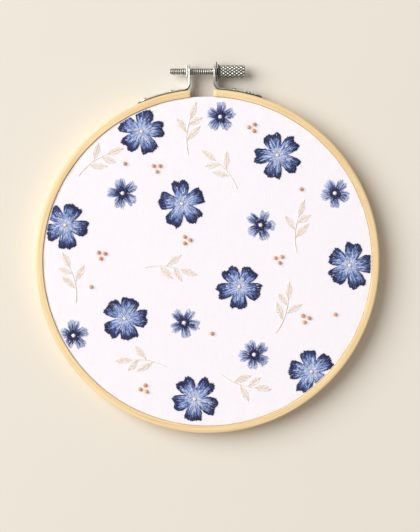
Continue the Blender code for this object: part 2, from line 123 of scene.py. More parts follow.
# Inner hoop: a strip of pale beech, steamed, bent round and glued where its ends overlap.
# The cloth hides all of it from the front.
def add_node(tree, kind, inputs=(), **settings):
    """One shader node. An input takes a value or another node's output."""
    made = tree.nodes.new(kind)
    for key, value in settings.items():
        setattr(made, key, value)
    for key, value in dict(inputs).items():
        if isinstance(value, bpy.types.NodeSocket):
            tree.links.new(value, made.inputs[key])
        else:
            made.inputs[key].default_value = value
    return made


def sums(tree, operation, first, second=0.0, third=0.0):
    made = add_node(tree, "ShaderNodeMath", {0: first, 1: second, 2: third}, operation=operation)
    return made.outputs[0]


def noise(tree, place, stretch, detail=3.0):
    """Cloudy noise from 0 to 1, with this many lumps in a unit of each axis of the place."""
    scaled = add_node(tree, "ShaderNodeVectorMath", {0: place, 1: stretch}, operation="MULTIPLY")
    made = add_node(tree, "ShaderNodeTexNoise", {"Vector": scaled.outputs[0], "Scale": 1.0, "Detail": detail})
    return made.outputs["Fac"]


def ramp(tree, value, stops):
    """A colour read off a row of (position, colour) stops."""
    made = add_node(tree, "ShaderNodeValToRGB", {"Fac": value})
    while len(made.color_ramp.elements) < len(stops):
        made.color_ramp.elements.new(1.0)
    for element, (position, colour) in zip(made.color_ramp.elements, stops):
        element.position = position
        element.color = (*colour, 1.0)
    return made.outputs["Color"]


def mixed(tree, share, first, second, blend="MIX"):
    """Two colours mixed by a share from 0 to 1."""
    made = add_node(tree, "ShaderNodeMix", data_type="RGBA", blend_type=blend)
    for index, value in ((0, share), (6, first), (7, second)):
        if isinstance(value, bpy.types.NodeSocket):
            tree.links.new(value, made.inputs[index])
        else:
            made.inputs[index].default_value = value
    return made.outputs[2]


def set_relief(tree, shader, height, depth):
    """Bumps of this height field on the shader, from 0 to depth in metres."""
    bump = add_node(tree, "ShaderNodeBump", {"Height": height, "Distance": depth, "Strength": 1.0})
    tree.links.new(bump.outputs["Normal"], shader.inputs["Normal"])


def wood_finish(name, pale, deep, roughness):
    """Straight-grained wood. The grain follows the strip, which holds its own (along, radius, height) in mm."""
    finish, tree, shader = new_finish(name, roughness, {"Coat Weight": 0.12, "Coat Roughness": 0.35})
    place = add_node(tree, "ShaderNodeAttribute", attribute_name="grain").outputs["Vector"]
    fibres = noise(tree, place, (0.035, 1.7, 1.7), 6.0)
    boards = noise(tree, place, (0.012, 0.25, 0.25), 1.0)
    flecks = noise(tree, place, (0.35, 5.0, 5.0), 2.0)
    colour = ramp(tree, fibres, ((0.34, deep), (0.62, pale)))
    warmth = ramp(tree, boards, ((0.35, (0.93, 0.90, 0.86)), (0.65, (1.0, 1.0, 1.0))))
    colour = mixed(tree, 1.0, colour, warmth, "MULTIPLY")
    pores = ramp(tree, flecks, ((0.62, (0.0, 0.0, 0.0)), (0.72, (0.30, 0.30, 0.30))))
    colour = mixed(tree, pores, colour, (*[0.62 * part for part in deep], 1.0))
    tree.links.new(colour, shader.inputs["Base Color"])
    relief = sums(tree, "SUBTRACT", fibres, sums(tree, "MULTIPLY", pores, 0.8))
    set_relief(tree, shader, relief, 0.05 * MM)
    return finish


def end_grain_finish(name, pale, deep):
    """The cut ends of a strip: darker, with the rings' dots and lines."""
    finish, tree, shader = new_finish(name, 0.75)
    place = add_node(tree, "ShaderNodeAttribute", attribute_name="grain").outputs["Vector"]
    layers = noise(tree, place, (0.0, 3.2, 0.5), 3.0)
    dots = noise(tree, place, (0.0, 9.0, 9.0), 1.0)
    mark = sums(tree, "MULTIPLY", layers, dots)
    tree.links.new(ramp(tree, mark, ((0.16, deep), (0.36, pale))), shader.inputs["Base Color"])
    set_relief(tree, shader, mark, 0.08 * MM)
    return finish


def rounded_section(low, high, ease_low, ease_high, ease_inner=None, corner_steps=4):
    """A rectangle in (radius, height), anticlockwise from its lower inner corner, with rounded corners.

    ease_inner is the rounding of its upper inner corner, where that differs from the upper outer one.
    """
    corners = (
        (low[0], low[1], 1, 1, ease_low, math.pi),
        (high[0], low[1], -1, 1, ease_low, 1.5 * math.pi),
        (high[0], high[1], -1, -1, ease_high, 0.0),
        (low[0], high[1], 1, -1, ease_inner or ease_high, 0.5 * math.pi),
    )
    points = []
    for radius, height, inwards, upwards, ease, start in corners:
        for step in range(corner_steps + 1):
            angle = start + 0.5 * math.pi * step / corner_steps
            points.append((
                radius + ease * (inwards + math.cos(angle)),
                height + ease * (upwards + math.sin(angle)),
            ))
    return np.array(points)


def new_piece(name, verts, faces, finishes, body="hoop", smooth=True):
    """A piece of the object from its points and faces, riding on its body."""
    mesh = bpy.data.meshes.new(name)
    mesh.from_pydata([tuple(vert) for vert in verts], [], [tuple(face) for face in faces])
    if smooth:
        mesh.shade_smooth()
    for finish in finishes:
        mesh.materials.append(finish)
    made = bpy.data.objects.new(name, mesh)
    bpy.context.scene.collection.objects.link(made)
    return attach(made, body)


def tube_faces(rows, around):
    """Quads of a tube made of rows of points, and its two end caps."""
    row, column = np.meshgrid(np.arange(rows - 1), np.arange(around), indexing="ij")
    near = row * around + column
    far = row * around + (column + 1) % around
    quads = np.stack([near, far, far + around, near + around], axis=-1).reshape(-1, 4)
    caps = [list(range(around))[::-1], list(range((rows - 1) * around, rows * around))]
    return [list(quad) for quad in quads] + caps


def bent_strip(name, section, end_angles, steps, ease, finishes):
    """A strip swept clockwise round the hoop. end_angles gives its two ends at each radius of the section."""
    middle = (section.min(axis=0) + section.max(axis=0)) / 2
    first, last = end_angles(section[:, 0])
    arc = np.mean(first - last) * middle[0]
    shares = np.concatenate([[0.0], np.linspace(ease / arc, 1 - ease / arc, steps), [1.0]])
    drawn_in = np.zeros(len(shares))
    drawn_in[[0, -1]] = 0.6 * ease
    verts = []
    grain = []
    for share, inset in zip(shares, drawn_in):
        ring = section - np.sign(section - middle) * inset
        angle = first + (last - first) * share
        verts += zip(hoop_centre.x + ring[:, 0] * np.cos(angle), hoop_centre.y + ring[:, 0] * np.sin(angle), ring[:, 1])
        grain += [(share * arc / MM, radius / MM, height / MM) for radius, height in ring]
    made = new_piece(name, verts, tube_faces(len(shares), len(section)), finishes)
    made.data.attributes.new("grain", "FLOAT_VECTOR", "POINT").data.foreach_set("vector", np.ravel(grain))
    made.data.set_sharp_from_angle(angle=math.radians(40))
    for cap in list(made.data.polygons)[-2:]:
        cap.material_index = 1
    return made


INNER_RADIUS = 76.8 * MM
INNER_WALL = 3.3 * MM
INNER_TOP = 8.8 * MM
SCARF_ANGLE = math.radians(215.0)
SCARF_SLANT = 6.0  # along the hoop for each unit through it
SCARF_GAP = 0.06 * MM
plain_wood = wood_finish("plain_beech", (0.80, 0.59, 0.33), (0.66, 0.45, 0.23), 0.62)
end_grain = end_grain_finish("beech_end_grain", (0.62, 0.43, 0.23), (0.40, 0.25, 0.11))


def scarf_ends(radius):
    slant = SCARF_SLANT * (radius - INNER_RADIUS) / INNER_RADIUS
    return SCARF_ANGLE + slant, SCARF_ANGLE + slant - 2 * math.pi + SCARF_GAP / INNER_RADIUS


inner_section = rounded_section(
    (INNER_RADIUS - INNER_WALL, 0.0), (INNER_RADIUS, INNER_TOP), 0.35 * MM, 0.5 * MM
)
inner_ring = bent_strip("inner_ring", inner_section, scarf_ends, 300, 0.05 * MM, [plain_wood, end_grain])
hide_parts("inner_hoop")


# Cloth: one disc of plain-weave white cotton, cut 170 mm across, drawn as tight as a drum over the inner
# hoop and down between the two hoops. Its cut edge shows at the back.
CLOTH_RADIUS = 77.52 * MM
CLOTH_THICKNESS = 0.4 * MM
CLOTH_BEND = 0.45 * MM
CLOTH_HEM = 1.0 * MM
THREADS_PER_MM = 2.4
CLOTH_STEPS = 288


def weave_height(tree, place):
    """Plain weave: each thread is a round back, over and under its crossings by turns."""
    split = add_node(tree, "ShaderNodeSeparateXYZ", {0: place})
    turn = math.pi * THREADS_PER_MM
    waves = []
    for axis in ("X", "Y"):
        wave = sums(tree, "SINE", sums(tree, "MULTIPLY", split.outputs[axis], turn))
        waves.append(wave)
    over = sums(tree, "GREATER_THAN", sums(tree, "MULTIPLY", waves[0], waves[1]), 0.0)
    backs = [sums(tree, "ABSOLUTE", wave) for wave in waves]
    under = sums(tree, "SUBTRACT", 1.0, over)
    return sums(
        tree, "ADD", sums(tree, "MULTIPLY", over, backs[0]), sums(tree, "MULTIPLY", under, backs[1])
    )


def cotton_finish(name, pale, shade):
    finish, tree, shader = new_finish(name, 0.85, {"Sheen Weight": 0.15, "Sheen Roughness": 0.4})
    metres = add_node(tree, "ShaderNodeTexCoord").outputs["Object"]
    place = add_node(tree, "ShaderNodeVectorMath", {0: metres, "Scale": 1 / MM}, operation="SCALE").outputs[0]
    slubs_across = noise(tree, place, (0.25, 2.4, 0.5), 2.0)
    slubs_down = noise(tree, place, (2.4, 0.25, 0.5), 2.0)
    slubs = sums(tree, "ADD", slubs_across, slubs_down)
    weave = weave_height(tree, place)
    clouds = noise(tree, place, (0.03, 0.03, 0.03), 2.0)
    # Painted light and shade: the weave's height makes the crowns of the threads paler and the hollows darker; the
    # slubs and clouds are the cotton's own tone.
    tint_and_weave_shade = sums(tree, "MULTIPLY_ADD", weave, 0.35, sums(tree, "MULTIPLY", slubs, 0.45))
    tint_and_weave_shade = sums(tree, "MULTIPLY_ADD", clouds, 0.25, tint_and_weave_shade)
    tree.links.new(ramp(tree, tint_and_weave_shade, ((0.30, shade), (0.80, pale))), shader.inputs["Base Color"])
    set_relief(tree, shader, sums(tree, "ADD", weave, slubs), 0.035 * MM)
    return finish


def cloth_rings():
    """Radius and height of each ring of the cloth, from its middle out, down, round the hem and back."""
    bend = CLOTH_RADIUS - CLOTH_BEND
    inside = CLOTH_BEND - CLOTH_THICKNESS
    flat = np.linspace(0.6 * MM, bend, 34)
    arc = np.linspace(0, math.pi / 2, 7)[1:]
    wall = np.linspace(cloth_top - CLOTH_BEND, CLOTH_HEM, 6)[1:]
    outer = [(radius, cloth_top) for radius in flat]
    outer += [(bend + CLOTH_BEND * math.sin(a), cloth_top - CLOTH_BEND * (1 - math.cos(a))) for a in arc]
    outer += [(CLOTH_RADIUS, height) for height in wall]
    inner = [(CLOTH_RADIUS - CLOTH_THICKNESS, height) for height in wall[::-1]]
    inner += [(bend + inside * math.sin(a), cloth_top - CLOTH_BEND + inside * math.cos(a)) for a in arc[::-1]]
    inner += [(radius, cloth_top - CLOTH_THICKNESS) for radius in flat[::-1]]
    return np.array(outer + inner)


def drawn_tight(x, y):
    """Height that the pull adds to the cloth's face: short ripples that fade inwards from the rim."""
    radius = np.hypot(x, y)
    angle = np.arctan2(y, x)
    ripples = np.sin(31 * angle + 1.3) + 0.7 * np.sin(53 * angle + 0.4) + 0.5 * np.sin(19 * angle)
    fade = np.exp((radius - CLOTH_RADIUS) / (5.0 * MM)) * np.clip((CLOTH_RADIUS - radius) / CLOTH_BEND, 0, 1)
    swell = np.sin(x / (17 * MM) + 0.7) * np.sin(y / (21 * MM) - 0.4) * np.clip(1 - radius / CLOTH_RADIUS, 0, 1)
    return 0.06 * MM * ripples * fade + 0.05 * MM * swell


def make_cloth():
    rings = cloth_rings()
    angles = np.linspace(0, 2 * math.pi, CLOTH_STEPS, endpoint=False)
    x = np.outer(rings[:, 0], np.cos(angles))
    y = np.outer(rings[:, 0], np.sin(angles))
    ragged = 0.25 * np.sin(13 * angles) + 0.2 * np.sin(29 * angles + 2.0) + 0.15 * np.sin(71 * angles)
    near_hem = np.clip(1 - (rings[:, 1] - CLOTH_HEM) / (2 * MM), 0, 1)
    z = rings[:, 1][:, None] + drawn_tight(x, y) + np.outer(near_hem, ragged) * MM
    verts = np.stack([hoop_centre.x + x, hoop_centre.y + y, z], axis=-1).reshape(-1, 3)
    faces = [face[::-1] for face in tube_faces(len(rings), CLOTH_STEPS)]
    return new_piece("stretched_cotton", verts, faces, [white_cotton])


white_cotton = cotton_finish("white_cotton", (0.985, 0.932, 0.970), (0.925, 0.866, 0.908))
cloth = make_cloth()
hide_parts("cloth")


# Large flowers: five petals each, worked in stranded cotton from the rim inwards in rows of long and short
# stitches, navy at the rim, then blues, and pale at the heart, which has one pinkish white knot.
def thread_finish(name, stops, roughness=0.48, relief=0.03 * MM):
    """Two-ply thread. Its tone picks the shade, and its own (along in mm, around) places the twist."""
    finish, tree, shader = new_finish(name, roughness, {"Sheen Weight": 0.16, "Sheen Roughness": 0.3})
    tone = add_node(tree, "ShaderNodeAttribute", attribute_name="tone").outputs["Fac"]
    along = add_node(tree, "ShaderNodeSeparateXYZ", {0: add_node(tree, "ShaderNodeUVMap", uv_map="thread").outputs[0]})
    turns = sums(tree, "MULTIPLY_ADD", along.outputs["Y"], 2.0, sums(tree, "DIVIDE", along.outputs["X"], 0.55))
    twist = sums(tree, "SINE", sums(tree, "MULTIPLY", turns, 2 * math.pi))
    metres = add_node(tree, "ShaderNodeTexCoord").outputs["Object"]
    fuzz = noise(tree, metres, (4000.0, 4000.0, 4000.0), 2.0)
    mottled = sums(tree, "MULTIPLY_ADD", sums(tree, "SUBTRACT", fuzz, 0.5), 0.22, tone)
    # Painted light and shade: the twist, which also makes the bump, lightens and darkens the colour a little along the
    # plies.
    ply = sums(tree, "MULTIPLY_ADD", twist, 0.03, mottled)
    tree.links.new(ramp(tree, ply, stops), shader.inputs["Base Color"])
    set_relief(tree, shader, sums(tree, "ADD", twist, fuzz), relief)
    return finish


THREAD_SIDES = 6
PINKISH_WHITE = 1.0  # the tone of a knot at a flower's heart
STITCH_REACH = 76.9 * MM  # where the outer hoop hides the rest of a motif
blue_thread = thread_finish("blue_thread", (
    (0.00, (0.009, 0.013, 0.062)),
    (0.20, (0.024, 0.038, 0.175)),
    (0.42, (0.110, 0.180, 0.470)),
    (0.62, (0.285, 0.400, 0.750)),
    (0.82, (0.545, 0.645, 0.950)),
    (0.93, (0.770, 0.805, 0.970)),
    (1.00, (0.940, 0.840, 0.840)),
))


def threads(paths, half_widths, tones, flatness=0.75):
    """Closed tubes along paths, an array of (strand, station, xyz), as points, faces, places on the thread, tones."""
    strands, stations, _ = paths.shape
    heading = np.gradient(paths, axis=1)
    heading /= np.maximum(np.linalg.norm(heading, axis=2, keepdims=True), 1e-12)
    side = np.cross(heading, (0.0, 0.0, 1.0))
    side /= np.maximum(np.linalg.norm(side, axis=2, keepdims=True), 1e-12)
    up = np.cross(side, heading)
    around = 2 * math.pi * np.arange(THREAD_SIDES) / THREAD_SIDES
    across = side[:, :, None, :] * np.cos(around)[None, None, :, None]
    rise = up[:, :, None, :] * (flatness * np.sin(around))[None, None, :, None]
    verts = paths[:, :, None, :] + (across + rise) * half_widths[:, :, None, None]

    steps = np.linalg.norm(np.diff(paths, axis=1), axis=2)
    along = np.concatenate([np.zeros((strands, 1)), np.cumsum(steps, axis=1)], axis=1) / MM
    row, column = np.meshgrid(np.arange(stations - 1), np.arange(THREAD_SIDES), indexing="ij")
    row = row.ravel()
    column = column.ravel()
    after = (column + 1) % THREAD_SIDES
    near = row * THREAD_SIDES
    quad = np.stack([near + column, near + THREAD_SIDES + column, near + THREAD_SIDES + after, near + after], axis=1)
    first = (np.arange(strands) * stations * THREAD_SIDES)[:, None, None]
    quads = (quad[None] + first).reshape(-1, 4)
    lane = np.stack([column, column, column + 1, column + 1], axis=1) / THREAD_SIDES
    reach = np.stack([along[:, row], along[:, row + 1], along[:, row + 1], along[:, row]], axis=2)
    places = np.stack([reach, np.broadcast_to(lane, reach.shape)], axis=-1).reshape(-1, 2)
    start_cap = first[:, 0] + np.arange(THREAD_SIDES)
    end_cap = first[:, 0] + (stations - 1) * THREAD_SIDES + np.arange(THREAD_SIDES)[::-1]
    caps = np.concatenate([start_cap, end_cap])
    return verts.reshape(-1, 3), quads, caps, places, np.repeat(tones, stations * THREAD_SIDES)


def needlework(name, bundles, finish, nodes=()):
    """One piece from bundles of threads."""
    verts = np.concatenate([bundle[0] for bundle in bundles])
    starts = np.cumsum([0] + [len(bundle[0]) for bundle in bundles[:-1]])
    quads = np.concatenate([bundle[1] + start for bundle, start in zip(bundles, starts)])
    caps = np.concatenate([bundle[2] + start for bundle, start in zip(bundles, starts)])
    places = np.concatenate([bundle[3] for bundle in bundles])
    made = new_piece(name, verts, [*quads.tolist(), *caps.tolist()], [finish])
    made.data.attributes.new("tone", "FLOAT", "POINT").data.foreach_set(
        "value", np.concatenate([bundle[4] for bundle in bundles])
    )
    spare = np.zeros((len(caps) * THREAD_SIDES, 2))
    made.data.uv_layers.new(name="thread").data.foreach_set("uv", np.concatenate([places, spare]).ravel())
    if nodes:
        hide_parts(*nodes)
    return made


# Columns of a stitch
START, END, RISE, WIDTH, BOW, TONE = slice(0, 2), slice(2, 4), 4, 5, 6, 7


def stitch_rows(start, end, rise, width, bow, tone):
    """Stitches as rows of a table, in mm: two ends, rise over the cloth, half width, sideways bow, tone."""
    count = len(start)
    columns = [np.broadcast_to(value, count)[:, None] for value in (rise, width, bow, tone)]
    return np.concatenate([start, end, *columns], axis=1)


def placed(stitches, x, y, turn):
    """The stitches turned about their motif's middle and set at its place on the cloth."""
    cos, sin = math.cos(math.radians(turn)), math.sin(math.radians(turn))
    spin = np.array([[cos, sin], [-sin, cos]])
    moved = stitches.copy()
    for ends in (START, END):
        moved[:, ends] = stitches[:, ends] @ spin + (x, y)
    return moved


def cut_at_rim(stitches, reach):
    """The stitches with what lies past this radius from the hoop's centre cut off."""
    kept = []
    for row in stitches:
        inner, outer = row[START], row[END]
        if np.hypot(*inner) > np.hypot(*outer):
            inner, outer = outer, inner
        if np.hypot(*inner) > reach:
            continue
        if np.hypot(*outer) > reach:
            run = outer - inner
            half_b = inner @ run
            share = (math.sqrt(half_b**2 + run @ run * (reach**2 - inner @ inner)) - half_b) / (run @ run)
            row = row.copy()
            row[START], row[END] = inner, inner + run * share
        if np.hypot(*(row[END] - row[START])) > 0.4:
            kept.append(row)
    return np.array(kept)


def sewn(stitches, reach=STITCH_REACH / MM, back=False):
    """Each stitch as a low arch that comes up through the cloth and goes down again."""
    table = cut_at_rim(stitches, reach)
    run = table[:, END] - table[:, START]
    length = np.hypot(run[:, 0], run[:, 1])
    across = np.stack([-run[:, 1], run[:, 0]], axis=1) / length[:, None]
    bite = np.minimum(0.3, 0.35 / length)
    shares = np.stack([np.zeros_like(bite), bite, np.full_like(bite, 0.5), 1 - bite, np.ones_like(bite)], axis=1)
    bow = table[:, BOW, None] * np.sin(math.pi * shares)
    flat = table[:, None, START] + run[:, None] * shares[:, :, None] + across[:, None] * bow[:, :, None]
    height = table[:, RISE, None] * np.array([0.0, 0.85, 1.0, 0.85, 0.0]) - np.array([0.2, 0, 0, 0, 0.2])
    level = cloth_top - CLOTH_THICKNESS - height * MM if back else cloth_top + height * MM
    paths = np.concatenate([flat * MM, level[:, :, None]], axis=2) + np.array(hoop_centre)
    widths = table[:, WIDTH, None] * MM * np.array([0.6, 0.95, 1.0, 0.95, 0.6])
    return threads(paths, widths, table[:, TONE])


def knots(places, radius, tones, rng, back=False):
    """French knots: the thread wound twice round the needle, a coil that closes in as it rises."""
    steps = 26
    turn = np.linspace(0, 1, steps)
    paths = []
    for x, y in places:
        angle = rng.uniform(0, 2 * math.pi) + 2 * math.pi * 2.3 * turn
        out = radius * (0.62 - 0.42 * turn**1.5)
        rise = radius * (0.15 + 0.85 * np.sin(0.5 * math.pi * turn**0.8))
        rise[-1] = 0.0
        level = cloth_top - CLOTH_THICKNESS - rise * MM if back else cloth_top + rise * MM
        flat = np.stack([x + out * np.cos(angle), y + out * np.sin(angle)], axis=1) * MM
        paths.append(np.concatenate([flat, level[:, None]], axis=1) + np.array(hoop_centre))
    widths = np.full((len(paths), steps), 0.36 * radius * MM)
    return threads(np.array(paths), widths, np.broadcast_to(tones, len(paths)), flatness=1.0)


def fan(number, share, out, breadth, lean):
    """Places in a petal, by share of its half angle and by distance out. Petals touch round the heart."""
    spread = np.interp(out, (0.34, 0.64), (1.02, breadth))
    angle = math.pi / 5 * (2 * number + share * spread) + lean
    return np.stack([np.cos(angle), np.sin(angle)], axis=-1) * out[:, None]


def flower(rng, radius, petal, rows, edge_tone=None, sparse=1.0, breadths=(0.72, 0.90)):
    """Stitches of one flower, in rays from its middle. petal is the reach by share of the half angle."""
    made = []
    for number in range(5):
        lean = rng.normal(0, 0.03)
        size = rng.uniform(0.94, 1.05)
        phase = rng.uniform(0, 2 * math.pi)
        breadth = rng.uniform(*breadths)

        def reach(share):
            return size * (np.interp(abs(share), *petal) + 0.035 * np.sin(7.5 * share + phase))

        for rays, outer, inner, ragged, tone, contrast, rise, width in rows:
            count = max(3, round(rays * sparse))
            share = np.linspace(-0.96, 0.96, count) + rng.normal(0, 0.25 / count, count)
            far = reach(share) * (outer + ragged * rng.uniform(-1, 1, count))
            near = np.maximum(reach(share) * (inner + ragged * rng.uniform(-1, 1, count)), 0.07)
            made.append(stitch_rows(
                radius * fan(number, share, far, breadth, lean),
                radius * fan(number, share + rng.normal(0, 0.04, count), near, breadth, lean),
                rise + rng.uniform(-0.04, 0.04, count),
                width * rng.uniform(0.85, 1.1, count),
                rng.normal(0, 0.06, count),
                np.clip(tone + contrast * rng.uniform(-1, 1, count), 0.0, 0.94),
            ))
        if edge_tone is not None:
            sides = np.linspace(0.46, 0.95, 5)
            across = np.linspace(-0.97, 0.97, 13)
            share = np.concatenate([np.full(5, across[0]), across, np.full(5, across[-1])])
            out = np.concatenate([sides * reach(across[:1]), reach(across), sides[::-1] * reach(across[-1:])])
            edge = radius * fan(number, share, 0.965 * out, breadth, lean)
            step = np.diff(edge, axis=0)
            made.append(stitch_rows(edge[:-1], edge[1:] + 0.3 * step, 0.30, 0.17, 0.0, edge_tone))
    return np.concatenate(made)


LARGE_RADIUS = 10.9
LARGE_PETAL = ((0.0, 0.30, 0.55, 0.75, 0.88, 0.96, 1.0), (0.95, 0.99, 1.0, 0.95, 0.86, 0.74, 0.60))
LARGE_EDGE_TONE = 0.04
LARGE_ROWS = (
    # rays a petal, outer and inner end as shares of the reach, raggedness, tone, contrast, rise, half width
    (30, 1.00, 0.78, 0.045, 0.06, 0.08, 0.24, 0.23),
    (26, 0.86, 0.66, 0.07, 0.22, 0.24, 0.31, 0.20),
    (22, 0.76, 0.54, 0.08, 0.46, 0.34, 0.36, 0.19),
    (18, 0.64, 0.42, 0.09, 0.58, 0.36, 0.41, 0.18),
    (14, 0.52, 0.29, 0.09, 0.68, 0.28, 0.45, 0.18),
    (9, 0.38, 0.14, 0.06, 0.84, 0.14, 0.49, 0.17),
    (5, 0.24, 0.09, 0.03, 0.90, 0.08, 0.52, 0.16),
)
LARGE_FLOWERS = (
    # x, y, turn in degrees
    (-31.0, 61.0, 10.0),
    (33.0, 50.0, 38.0),
    (-67.0, 17.0, 62.0),
    (-12.0, 27.0, 25.0),
    (67.0, -2.0, 5.0),
    (15.0, -12.0, 52.0),
    (-39.0, -27.0, 0.0),
    (49.0, -52.0, 30.0),
    (-6.0, -65.0, 48.0),
)
for number, (x, y, turn) in enumerate(LARGE_FLOWERS, start=1):
    rng = np.random.default_rng(100 + number)
    stitches = placed(flower(rng, LARGE_RADIUS, LARGE_PETAL, LARGE_ROWS, LARGE_EDGE_TONE), x, y, turn)
    heart = knots([(x, y)], 0.95, PINKISH_WHITE, rng)
    bundles = [sewn(stitches), heart]
    needlework(f"blue_flower_{number}", bundles, blue_thread, [f"flower_large_{number}"])


# Small flowers: the same stitch in two rows, the other way about, pale at the tips and navy at the heart,
# with a white knot.
SMALL_RADIUS = 7.3
SMALL_PETAL = ((0.0, 0.35, 0.60, 0.80, 0.92, 1.0), (0.97, 1.0, 0.97, 0.89, 0.76, 0.60))
SMALL_ROWS = (
    # rays a petal, outer and inner end as shares of the reach, raggedness, tone, contrast, rise, half width
    (17, 0.98, 0.62, 0.06, 0.85, 0.13, 0.20, 0.18),
    (14, 0.82, 0.40, 0.10, 0.58, 0.36, 0.30, 0.18),
    (9, 0.70, 0.32, 0.16, 0.14, 0.14, 0.37, 0.16),
    (10, 0.40, 0.15, 0.07, 0.03, 0.04, 0.44, 0.20),
)
SMALL_FLOWERS = (
    # x, y, turn in degrees
    (6.0, 68.0, 15.0),
    (60.0, 32.0, 50.0),
    (25.0, 17.0, 0.0),
    (-40.0, 32.0, 33.0),
    (-11.0, -29.0, 60.0),
    (-63.0, -35.0, 20.0),
    (22.0, -44.0, 40.0),
)
light_blue_thread = thread_finish("light_blue_thread", (
    (0.00, (0.010, 0.013, 0.068)),
    (0.20, (0.038, 0.050, 0.180)),
    (0.45, (0.170, 0.225, 0.520)),
    (0.70, (0.385, 0.455, 0.770)),
    (0.90, (0.660, 0.715, 0.920)),
    (1.00, (0.970, 0.940, 0.950)),
))
for number, (x, y, turn) in enumerate(SMALL_FLOWERS, start=1):
    rng = np.random.default_rng(200 + number)
    stitches = placed(flower(rng, SMALL_RADIUS, SMALL_PETAL, SMALL_ROWS), x, y, turn)
    heart = knots([(x, y)], 1.05, PINKISH_WHITE, rng)
    bundles = [sewn(stitches), heart]
    needlework(f"light_flower_{number}", bundles, light_blue_thread, [f"flower_small_{number}"])


# Sprigs: a curved stem in stem stitch, and four leaves in open fishbone stitch, one strand of beige thread.
SPRIGS = (
    # x and y of the foot of the stem, turn in degrees, which way it curls
    (14.0, 34.0, 20.0, 1),
    (-61.0, 40.0, -35.0, -1),
    (-62.0, -20.0, -8.0, 1),
    (-30.0, -3.0, -75.0, -1),
    (42.0, 4.0, 15.0, -1),
    (32.0, -34.0, -38.0, 1),
    (-19.0, -50.0, 60.0, 1),
    (6.0, -53.0, -130.0, 1),
    (-9.0, 50.0, 15.0, -1),
)
STEM_LENGTH = 16.5
STEM_BEND = math.radians(34.0)
LEAF_HALF_WIDTH = 1.95
LEAVES = (
    # share of the stem, side (1 left, -1 right, 0 the tip), length, lean in degrees
    (0.42, 1, 9.6, 44.0),
    (0.63, -1, 9.2, 42.0),
    (0.86, 1, 7.8, 46.0),
    (1.00, 0, 9.5, 0.0),
)
LEAF_SHAPE = ((0.0, 0.17, 0.38, 0.62, 0.84, 1.0), (0.0, 0.22, 0.84, 1.0, 0.60, 0.0))
beige_thread = thread_finish("beige_thread", (
    (0.00, (0.960, 0.735, 0.585)),
    (0.45, (1.000, 0.875, 0.755)),
    (1.00, (1.000, 0.940, 0.865)),
), roughness=0.6, relief=0.012 * MM)


def on_stem(share, hand):
    """A point of the stem and the direction in which it grows there."""
    radius = STEM_LENGTH / STEM_BEND
    angle = STEM_BEND * share
    point = np.array([hand * radius * (math.cos(angle) - 1), radius * math.sin(angle)])
    return point, np.array([-hand * math.sin(angle), math.cos(angle)])


def rotated(direction, angle):
    cos, sin = math.cos(angle), math.sin(angle)
    return np.array([cos * direction[0] - sin * direction[1], sin * direction[0] + cos * direction[1]])


def leaf_stitches(rng, base, direction, length, spacing):
    """Slanting stitches from the vein out to the leaf's edge on both sides, and the vein over them."""
    rows = []
    across = rotated(direction, math.pi / 2)
    slant = 0.16
    for side in (1, -1):
        for share in np.arange(0.10, 0.92, spacing / length):
            tip = min(share + slant, 0.99)
            half = LEAF_HALF_WIDTH * np.interp(tip, *LEAF_SHAPE) * rng.uniform(0.86, 1.08)
            inner = base + direction * length * share + across * side * 0.05
            outer = base + direction * length * (tip + rng.normal(0, 0.012)) + across * side * half
            rows.append([*inner, *outer, 0.10, 0.13, rng.normal(0, 0.04), rng.uniform(0.1, 1.0)])
    for share in np.arange(0.0, 0.95, 0.24):
        start = base + direction * length * share
        end = base + direction * length * min(share + 0.30, 1.0)
        rows.append([*start, *end, 0.24, 0.14, rng.normal(0, 0.03), rng.uniform(0.0, 0.6)])
    return rows


def sprig(rng, hand, spacing):
    """Stitches of one sprig, from the foot of its stem at the middle of the table's frame."""
    rows = []
    stitches = 11
    for step in range(stitches):
        start, _ = on_stem(step / stitches, hand)
        end, along = on_stem(min(1.0, (step + 1.7) / stitches), hand)
        aside = rotated(along, math.pi / 2) * 0.09
        rows.append([*(start - aside), *(end + aside), 0.20, 0.15, 0.03 * hand, rng.uniform(0.0, 0.6)])
    for share, side, length, lean in LEAVES:
        base, along = on_stem(share, hand)
        direction = rotated(along, side * hand * math.radians(lean))
        rows += leaf_stitches(rng, base, direction, length, spacing)
    return np.array(rows)


for number, (x, y, turn, hand) in enumerate(SPRIGS, start=1):
    rng = np.random.default_rng(300 + number)
    stitches = placed(sprig(rng, hand, 0.54), x, y, turn)
    needlework(f"leaf_sprig_{number}", [sewn(stitches)], beige_thread, [f"sprig_{number}"])


# Knots: berries in orange thread, in threes and alone, raised on the cloth between the other motifs.
TRIO_RADIUS = 1.75
TRIOS = (
    # x, y, turn in degrees
    (-10.0, 10.0, 0.0),
    (33.5, 1.0, 40.0),
    (-50.0, 3.0, 20.0),
    (-30.0, -60.0, 70.0),
    (46.0, -27.0, 10.0),
    (21.0, 63.0, 55.0),
    (-24.0, 44.0, 30.0),
)
SINGLES = ((2.0, -34.0), (60.0, -25.0), (-55.0, -12.0), (44.0, 34.0), (-39.0, 46.0))
orange_thread = thread_finish("orange_thread", (
    (0.00, (0.790, 0.300, 0.150)),
    (0.50, (0.900, 0.430, 0.240)),
    (1.00, (0.960, 0.590, 0.380)),
), roughness=0.55, relief=0.015 * MM)
berries = list(SINGLES)
for x, y, turn in TRIOS:
    for third in range(3):
        angle = math.radians(turn + 120 * third)
        berries.append((x + TRIO_RADIUS * math.cos(angle), y + TRIO_RADIUS * math.sin(angle)))
rng = np.random.default_rng(400)
berry_tones = rng.uniform(0.2, 0.8, len(berries))
needlework("orange_knots", [knots(berries, 1.02, berry_tones, rng)], orange_thread)


